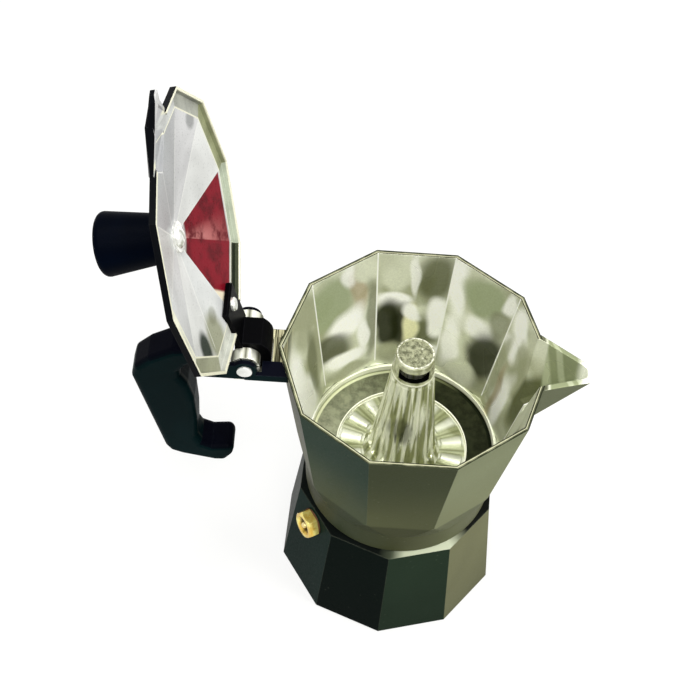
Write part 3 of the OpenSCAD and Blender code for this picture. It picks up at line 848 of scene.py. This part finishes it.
def columnMaterial():
    material, tree = newMaterial("cast column")
    place = objectPlace(tree)
    angle, split = heading(tree, place)
    height = times(tree, split.outputs["Z"], 1000.0)
    streakPlace = vectorMaths(tree, "MULTIPLY", place, (1.0, 1.0, 0.03))
    streak = ramp(tree, noise(tree, streakPlace, 640.0, 0.0), 0.42, 0.6)
    color = between(tree, streak, columnFinish, "mid", "pale")
    # Painted highlight on the ridges and painted shade in the flutes
    turn = petalTurn(tree, angle)
    ridge = ramp(tree, turn, 8.0, 10.6)
    color = overlay(tree, color, ridge, columnFinish["ridge"], 0.55)
    flute = ramp(tree, turn, 3.4, 1.0)
    wander = ramp(tree, noise(tree, place, 110.0, 2.0), 0.4, 0.6)
    color = overlay(tree, color, times(tree, flute, wander), columnFinish["dark"], 0.6)
    bent = maths(tree, "MULTIPLY_ADD", streak, 14.0, angle)
    shade = columnFinish["shade"]
    shadows = [(*sizes, shade, amount) for *sizes, amount in columnFinish["shadows"]]
    color = spots(tree, color, bent, height, shadows)
    # Painted shade where the column meets the floor
    dull = ramp(tree, height, 69.5, 67.0)
    color = overlay(tree, color, times(tree, dull, wander), columnFinish["foot"], 0.6)
    # Painted shade: the column is drawn near black inside the cap
    hidden = ramp(tree, height, pot["ringMm"] + 0.3, pot["ringMm"] + 0.5)
    color = overlay(tree, color, hidden, capFinish["window"])
    middle = columnFinish["roughness"]
    roughness = mixValue(tree, streak, middle + 0.1, middle - 0.06)
    normal = bump(tree, streak, 0.06, 0.0003)
    metallic, specular = columnFinish["metallic"], columnFinish["specular"]
    finishMaterial(tree, color, roughness, metallic, normal, specular)
    return material


def capMaterial():
    material, tree = newMaterial("column cap")
    place = objectPlace(tree)
    angle, split = heading(tree, place)
    height = times(tree, split.outputs["Z"], 1000.0)
    facing = splitPlace(tree, objectNormal(tree))
    radius = vectorMaths(tree, "LENGTH", levelPlace(tree, place))
    grain = useGrain(tree, 1500.0, 200.0)
    pits = ramp(tree, noise(tree, place, 760.0, 4.0, 0.75), 0.34, 0.62)
    top = pot["capTopMm"]
    disc = ramp(tree, facing.outputs["Z"], 0.5, 0.8)
    disc = times(tree, disc, ramp(tree, height, top - 1.2, top - 0.8))
    discColor = between(tree, pits, capFinish, "topDark", "top")
    discColor = overlay(tree, discColor, grain.outputs["Specks"], capFinish["speck"], 0.8)
    cloud = ramp(tree, noise(tree, place, 300.0, 2.0), 0.35, 0.65)
    side = between(tree, cloud, capFinish, "sideDark", "side")
    color = mixColor(tree, disc, side, discColor)
    # Painted highlight along the top's edge and along the lower ring
    lip = times(tree, ramp(tree, radius, 0.0054, 0.0057), disc)
    color = overlay(tree, color, times(tree, lip, pits), capFinish["ring"], 0.7)
    base = lineAt(tree, height, pot["ringMm"] + 0.35, 0.45)
    color = overlay(tree, color, base, capFinish["ring"], 0.85)
    # Painted shade on the faces inside the windows
    outward = vectorMaths(tree, "NORMALIZE", levelPlace(tree, place))
    outward = vectorMaths(tree, "DOT_PRODUCT", outward, objectNormal(tree))
    low, high = capFinish["windowMm"]
    window = times(tree, ramp(tree, height, low, low + 0.2), ramp(tree, height, high, high - 0.2))
    window = times(tree, window, ramp(tree, outward, 0.75, 0.6))
    color = overlay(tree, color, window, capFinish["window"])
    roughness = mixValue(tree, disc, 0.25, 0.6)
    normal = bump(tree, times(tree, pits, disc), 0.5, 0.0004)
    metallic, specular = capFinish["metallic"], capFinish["specular"]
    finishMaterial(tree, color, roughness, metallic, normal, specular)
    return material


dress("column", columnMaterial())
dress("column_cap", capMaterial())
print("column dressed")


# bare metals
valve = {
    "axis": (-0.8378, -0.5358, 0.1045),
    "place": (-0.02961, -0.01894, 0.042),
    # coil along that axis, and the pin's travel
    "spring": {
        "low": -0.0031,
        "high": 0.0019,
        "radius": 0.00185,
        "wire": 0.00027,
        "turns": 5,
        "stepsPerTurn": 28,
        "sides": 10,
        "travel": 0.0012,
    },
}
metals = {
    "spun": {
        "bright": (208, 208, 200), "dull": (168, 168, 158),
        "roughness": 0.34, "grain": 0.1, "metallic": 0.9,
    },
    "bright": {
        "bright": (250, 250, 246), "dull": (196, 198, 190),
        "roughness": 0.2, "grain": 0.05, "metallic": 0.7,
    },
    "brass": {
        "bright": (255, 240, 140), "dull": (228, 190, 84),
        "rim": (255, 240, 170), "hollow": (52, 30, 8),
        "roughness": 0.2, "grain": 0.05, "metallic": 0.55,
    },
    "ball": {
        "bright": (255, 244, 200), "dull": (236, 206, 120),
        "roughness": 0.2, "grain": 0.05, "metallic": 0.55,
    },
}


def bareMetal(name, finish):
    material, tree = newMaterial(name)
    grain = useGrain(tree, 2200.0, 90.0)
    edge = useGroup(tree, edgeGroup, Radius=0.00025, Amount=0.6, Speckle=0.2)
    dull, bright = paint(finish["dull"]), paint(finish["bright"])
    color = mixColor(tree, ramp(tree, grain.outputs["Patch"], 0.34, 0.6), dull, bright)
    color = mixColor(tree, times(tree, grain.outputs["Specks"], finish["grain"]), color, dull)
    # Edges lightened, partly as wear and partly as a painted edge highlight
    color = mixColor(tree, times(tree, edge.outputs["Mask"], 0.5), color, bright)
    roughness = roughBy(tree, grain, finish["roughness"])
    normal = bump(tree, grain.outputs["Grain"], finish["grain"], 0.0003, edge.outputs["Normal"])
    finishMaterial(tree, color, roughness, finish["metallic"], normal)
    return material


def valveFrame(tree):
    # Distance along the valve's axis from the boiler's face, and distance from that axis
    axis = Vector(valve["axis"])
    offset = vectorMaths(tree, "SUBTRACT", objectPlace(tree), tuple(valve["place"]))
    along = vectorMaths(tree, "DOT_PRODUCT", offset, tuple(axis))
    part = addNode(tree, "ShaderNodeVectorMath", {"operation": "SCALE"}, in0=tuple(axis))
    tree.links.new(along, part.inputs["Scale"])
    outward = vectorMaths(tree, "LENGTH", vectorMaths(tree, "SUBTRACT", offset, part.outputs[0]))
    return along, outward


def brassMaterial(finish):
    # Bright faces, a painted highlight on the rim's edges, and painted shade in the dark hollow
    # round the pin
    material, tree = newMaterial("valve brass")
    grain = useGrain(tree, 1600.0, 260.0)
    edge = useGroup(tree, edgeGroup, Radius=0.0003, Amount=0.8, Speckle=0.1)
    along, outward = valveFrame(tree)
    cloud = ramp(tree, grain.outputs["Patch"], 0.4, 0.6)
    color = between(tree, cloud, finish, "dull", "bright")
    color = overlay(tree, color, edge.outputs["Mask"], finish["rim"], 0.7)
    # Painted shade in the hollow round the pin
    hollow = times(tree, ramp(tree, outward, 0.0034, 0.0028), ramp(tree, along, 0.0046, 0.0038))
    color = overlay(tree, color, hollow, finish["hollow"], 0.9)
    roughness = roughBy(tree, grain, finish["roughness"])
    normal = bump(tree, grain.outputs["Grain"], 0.1, 0.0003, edge.outputs["Normal"])
    finishMaterial(tree, color, roughness, finish["metallic"], normal)
    return material


spunMetal = bareMetal("spun aluminium", metals["spun"])
brightMetal = bareMetal("bright pin metal", metals["bright"])
brassMetal = brassMaterial(metals["brass"])
for name in ("funnel_basket", "funnel_stem", "funnel_sieve", "filter_plate"):
    dress(name, spunMetal)
for name in ("hinge_pin", "tab_rivet", "knob_screw", "knob_washer"):
    dress(name, brightMetal)
for name in ("valve_body", "valve_retainer"):
    dress(name, brassMetal)
dress("valve_pin", bareMetal("valve ball", metals["ball"]))
print("metals dressed")


def makeSpring():
    # Coil between the pin's head and the retainer
    coil = valve["spring"]
    length = coil["high"] - coil["low"]
    steps = coil["turns"] * coil["stepsPerTurn"]
    mesh = bmesh.new()
    start = Matrix.Translation((coil["radius"], 0.0, coil["low"]))
    start = start @ Matrix.Rotation(math.pi / 2, 4, "X")
    ring = bmesh.ops.create_circle(
        mesh, cap_ends=True, segments=coil["sides"], radius=coil["wire"], matrix=start
    )
    geom = ring["verts"] + list(mesh.edges) + list(mesh.faces)
    windUp(mesh, geom, coil["turns"], steps, length / steps)
    for face in mesh.faces:
        face.smooth = len(face.verts) == 4
    axis = Vector(valve["axis"])
    lay = Matrix.Translation(valve["place"]) @ axis.to_track_quat("Z", "Y").to_matrix().to_4x4()
    bmesh.ops.transform(mesh, matrix=lay, verts=mesh.verts)
    spring = newPiece("valveCoil", mesh, spunMetal)
    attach(spring, "boiler_base")
    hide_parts("valve_spring")
    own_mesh(spring)


makeSpring()
print("valve spring wound")


# plastics
plastics = {
    # top and side colors are painted light, the same plastic lit from above and from the side; the
    # edge color is partly wear and partly a painted edge highlight; then the painted glint lines
    "handle": {
        "top": (5, 6, 14), "side": (5, 24, 26), "worn": (40, 48, 54), "rib": (44, 48, 46),
        "roughness": 0.42, "grain": 0.18,
    },
    "tab": {
        "top": (3, 3, 4), "side": (4, 4, 5), "worn": (36, 36, 40),
        "roughness": 0.36, "grain": 0.12,
    },
    "knob": {
        "top": (1, 3, 10), "side": (1, 5, 16), "worn": (30, 34, 46),
        "roughness": 0.45, "grain": 0.16,
    },
    "seal": {
        "top": (206, 202, 188), "side": (196, 192, 176), "worn": (222, 220, 208),
        "roughness": 0.7, "grain": 0.3,
    },
    "fibre": {
        "top": (110, 76, 54), "side": (88, 60, 42), "worn": (130, 96, 70),
        "roughness": 0.8, "grain": 0.5,
    },
}


def plastic(name, finish):
    material, tree = newMaterial(name)
    grain = useGrain(tree, 2600.0, 60.0)
    edge = useGroup(tree, edgeGroup, Radius=0.0005, Amount=0.35, Speckle=0.5)
    facing = splitPlace(tree, objectNormal(tree))
    # Painted light: the top and the sides of one plastic in different tones by facing
    up = ramp(tree, facing.outputs["Z"], 0.2, 0.7)
    color = between(tree, up, finish, "side", "top")
    cloud = ramp(tree, grain.outputs["Patch"], 0.3, 0.7, 0.8, 1.25)
    color = shadeBy(tree, color, cloud)
    # Edges lightened, partly as wear and partly as a painted edge highlight
    color = overlay(tree, color, edge.outputs["Mask"], finish["worn"])
    if "rib" in finish:
        # Upright lines of painted glint on the side that the fingers hold
        stretched = vectorMaths(tree, "MULTIPLY", objectPlace(tree), (0.02, 1.0, 0.02))
        lines = noise(tree, stretched, 420.0, 0.0)
        front = ramp(tree, facing.outputs["X"], 0.75, 0.95)
        front = times(tree, front, ramp(tree, lines, 0.44, 0.58))
        color = overlay(tree, color, front, finish["rib"])
    roughness = roughBy(tree, grain, finish["roughness"])
    normal = bump(tree, grain.outputs["Grain"], finish["grain"], 0.0002, edge.outputs["Normal"])
    finishMaterial(tree, color, roughness, 0.0, normal, specular=0.015)
    return material


dress("handle", plastic("moulded grip", plastics["handle"]))
dress("hinge_tab", plastic("moulded tab", plastics["tab"]))
dress("knob", plastic("moulded knob", plastics["knob"]))
dress("gasket", plastic("pale seal", plastics["seal"]))
dress("valve_washer", plastic("fibre washer", plastics["fibre"]))
print("plastics dressed")


# lid
lidFinish = {
    # painted light and shade of each inner face of the cone by its middle angle, as the lid lies
    # closed
    "faces": [
        (-162, (222, 224, 224)), (-126, (232, 233, 232)), (-90, (226, 227, 228)),
        (-54, (232, 233, 232)), (-18, (214, 215, 218)), (18, (206, 207, 210)),
        (54, (226, 226, 228)), (90, (234, 235, 234)), (126, (210, 211, 210)),
        (162, (200, 202, 196)),
    ],
    # the same painted light and shade for the flat step round it
    "step": [
        (-162, (196, 198, 190)), (-126, (150, 152, 130)), (-90, (228, 228, 214)),
        (-54, (224, 224, 212)), (-18, (190, 192, 190)), (18, (200, 202, 200)),
        (54, (168, 170, 160)), (90, (150, 154, 120)), (126, (176, 184, 166)), (162, (34, 40, 30)),
    ],
    "outside": (6, 7, 10),
    "rim": (238, 236, 212),
    "red": (116, 15, 30),
    "redDark": (84, 6, 18),
    "redPale": (206, 140, 136),
    "redLine": (70, 10, 20),
    "cream": (214, 204, 180),
    "ridge": (240, 240, 236),
    "stepLine": (238, 236, 214),
    "wall": (60, 62, 46),
    "edgeColor": (70, 72, 74),
    "beak": {"dark": (186, 186, 188), "light": (214, 213, 214)},
    "roughness": 0.3,
    "specular": 0.03,
    "grain": (1800.0, 30.0),
    "edge": {"Radius": 0.0003, "Amount": 0.5, "Speckle": 0.2},
    # painted reflections: angle, distance from the middle in mm, half sizes, color, amount
    "spots": [
        (-128, 34, 11, 6, (44, 52, 46), 1.0),
        (-150, 33, 15, 8, (140, 142, 118), 0.9),
        (-158, 28, 8, 3, (110, 112, 92), 0.5),
        (60, 35, 8, 3, (120, 122, 122), 0.7),
        (14, 32, 12, 6, (168, 170, 172), 0.6),
        (-12, 31, 8, 5, (184, 186, 188), 0.5),
    ],
}


def closedPlace(tree):
    # Object coordinates of the open lid turned back to where it lies closed
    angle = math.radians(pot["lidOpen"])
    hinge = Vector(pot["hinge"])
    shift = hinge - Matrix.Rotation(angle, 3, "Y") @ hinge
    mapping = addNode(tree, "ShaderNodeMapping", Vector=objectPlace(tree))
    mapping.inputs["Location"].default_value = shift
    mapping.inputs["Rotation"].default_value = (0.0, angle, 0.0)
    return mapping.outputs[0]


def closedNormal(tree):
    mapping = addNode(tree, "ShaderNodeMapping", Vector=objectNormal(tree))
    mapping.inputs["Rotation"].default_value = (0.0, math.radians(pot["lidOpen"]), 0.0)
    return mapping.outputs[0]


def faceStep(tree, angle):
    # One angle for a whole face, 9 degrees past its tone's stop, so that no step falls on a stop
    turns = maths(tree, "FLOOR", maths(tree, "MULTIPLY_ADD", angle, 1 / pot["faceStep"], 0.0))
    return maths(tree, "MULTIPLY_ADD", turns, pot["faceStep"], 27.0)


def lidMaterial():
    material, tree = newMaterial("lid shell")
    place = closedPlace(tree)
    turned = closedNormal(tree)
    across, corner, radius, split = tenSided(tree, place)
    x = split.outputs["X"]
    angle, _ = heading(tree, place)
    facingZ = splitPlace(tree, turned).outputs["Z"]
    height = maths(tree, "MULTIPLY_ADD", split.outputs["Z"], 1000.0, -1000.0 * pot["lidZ"])
    grain = useGrain(tree, *lidFinish["grain"])
    edge = useGroup(tree, edgeGroup, **lidFinish["edge"])
    inward = vectorMaths(tree, "NORMALIZE", levelPlace(tree, place))
    inward = vectorMaths(tree, "DOT_PRODUCT", inward, turned)
    inside = ramp(tree, facingZ, -0.05, -0.15)
    inside = maths(tree, "MAXIMUM", inside, ramp(tree, inward, -0.1, -0.3))

    # Faces of the shallow cone with their painted light, a shade darker towards the ring and by
    # soft patches and painted reflections
    color = toneRing(tree, faceStep(tree, angle), lidFinish["faces"], False)
    cloud = ramp(tree, noise(tree, place, 34.0, 2.0, 0.5, 0.6), 0.3, 0.7, 0.62, 0.86)
    color = shadeBy(tree, color, cloud)
    color = spots(tree, color, angle, times(tree, radius, 1000.0), lidFinish["spots"])
    # Painted highlight along the ridges between the faces
    ridge = times(tree, ramp(tree, corner, 0.00035, 0.0001), ramp(tree, height, 1.9, 2.3))
    color = overlay(tree, color, ridge, lidFinish["ridge"], 0.55)

    # Two red faces next to the hinge
    wedge = ramp(tree, angle, 107.6, 108.2)
    deep = times(tree, ramp(tree, height, 1.72, 1.86), ramp(tree, height, 7.5, 7.2))
    red = times(tree, wedge, deep)
    mottle = noise(tree, place, 150.0, 5.0, 0.7)
    blotch = ramp(tree, mottle, 0.36, 0.6)
    redColor = between(tree, blotch, lidFinish, "redDark", "red")
    above = times(tree, ramp(tree, angle, 144.0, 143.0), ramp(tree, angle, 124.0, 142.0))
    near = ramp(tree, radius, 0.034, 0.018, 0.35, 1.0)
    above = times(tree, times(tree, above, near), ramp(tree, mottle, 0.34, 0.56))
    redColor = overlay(tree, redColor, above, lidFinish["redPale"], 0.55)
    edgeLine = lineAt(tree, across, 0.036, 0.0005)
    redColor = overlay(tree, redColor, edgeLine, lidFinish["redLine"], 0.7)
    slant = vectorMaths(tree, "DOT_PRODUCT", place, (0.512, 0.859, 0.0))
    fade = ramp(tree, slant, -0.013, -0.0141)
    redColor = overlay(tree, redColor, fade, lidFinish["cream"])
    color = mixColor(tree, red, color, redColor)

    # Flat step round the cone with its painted light and shade, its inner line as a painted
    # highlight, the rim's face, and painted shade on the step's upright wall
    step = times(tree, ramp(tree, height, 1.75, 1.66), ramp(tree, across, 0.0361, 0.0362))
    stepColor = toneRing(tree, faceStep(tree, angle), lidFinish["step"], False)
    stepCloud = ramp(tree, noise(tree, place, 130.0, 2.0), 0.3, 0.7, 0.8, 1.15)
    stepColor = shadeBy(tree, stepColor, stepCloud)
    color = mixColor(tree, step, color, stepColor)
    # Painted highlight on the step's inner line
    color = overlay(tree, color, lineAt(tree, across, 0.0363, 0.00035), lidFinish["stepLine"], 0.85)
    color = overlay(tree, color, ramp(tree, height, 0.5, 0.2), lidFinish["rim"], 0.9)
    # Painted shade on the step's upright wall
    wall = times(tree, ramp(tree, inward, -0.5, -0.8), ramp(tree, height, 1.6, 1.5))
    color = overlay(tree, color, wall, lidFinish["wall"], 0.3)

    # Beak: plain grey, with the upright walls of its hollow
    upright = ramp(tree, maths(tree, "ABSOLUTE", facingZ), 0.5, 0.3)
    upright = times(tree, upright, ramp(tree, across, 0.0368, 0.036))
    inside = maths(tree, "MAXIMUM", inside, upright)
    beak = ramp(tree, x, 0.0425, 0.0435)
    towardsTip = ramp(tree, x, 0.043, 0.056)
    beakColor = between(tree, towardsTip, lidFinish["beak"])
    color = mixColor(tree, beak, color, beakColor)

    # Edges lightened, partly as wear and partly as a painted edge highlight
    worn = times(tree, edge.outputs["Mask"], 0.4)
    outside = overlay(tree, paint(lidFinish["outside"]), worn, lidFinish["edgeColor"])
    color = mixColor(tree, inside, outside, color)
    roughness = roughBy(tree, grain, lidFinish["roughness"], 0.05)
    roughness = mixValue(tree, inside, 0.42, roughness)
    metallic = times(tree, inside, maths(tree, "MULTIPLY_ADD", red, -0.15, 0.2))
    normal = bump(tree, grain.outputs["Grain"], 0.06, 0.0003, edge.outputs["Normal"])
    finishMaterial(tree, color, roughness, metallic, normal, lidFinish["specular"])
    return material


dress("lid", lidMaterial())
print("lid dressed")


# screw thread
thread = {
    "pitch": 0.003,
    "bottom": 0.0516,
    "turns": 2.4,
    "root": 0.02955,
    "crest": 0.03018,
    "stepsPerTurn": 72,
}


def makeThread():
    # One ridge wound up the boiler's neck
    mesh = bmesh.new()
    root, crest = thread["root"], thread["crest"]
    profile = [(root, 0.0), (crest, 0.0008), (crest, 0.0012), (root, 0.002)]
    corners = [mesh.verts.new((x, 0.0, thread["bottom"] + z)) for x, z in profile]
    face = mesh.faces.new(corners)
    geom = [face] + list(face.edges) + list(face.verts)
    steps = int(thread["turns"] * thread["stepsPerTurn"])
    windUp(mesh, geom, thread["turns"], steps, thread["pitch"] / thread["stepsPerTurn"])
    ridge = newPiece("neckThread", mesh, spunMetal)
    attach(ridge, "boiler_base")


makeThread()
print("thread made")


# floor
def floorMaterial():
    # Matte where it catches light and shadow, with a share of glow where it is seen
    material, tree = newMaterial("pale floor")
    seen = seenRay(tree)
    color = mixColor(tree, seen, rgba(studio["floorBounce"]), rgba(studio["floorColor"]))
    matte = addNode(tree, "ShaderNodeBsdfDiffuse", Color=color)
    glow = addNode(tree, "ShaderNodeEmission", Color=rgba(studio["floorColor"]))
    share = times(tree, seen, studio["floorGlow"])
    mixShaders(tree, share, matte, glow, "ShaderNodeOutputMaterial")
    return material


def makeFloor():
    mesh = bmesh.new()
    bmesh.ops.create_grid(mesh, x_segments=1, y_segments=1, size=studio["floorHalf"])
    under = cadBox[0][2] - studio["floorGap"]
    bmesh.ops.translate(mesh, verts=mesh.verts, vec=(0.0, 0.0, under))
    floor = newPiece("paleFloor", mesh, floorMaterial())


makeFloor()
print("floor laid")
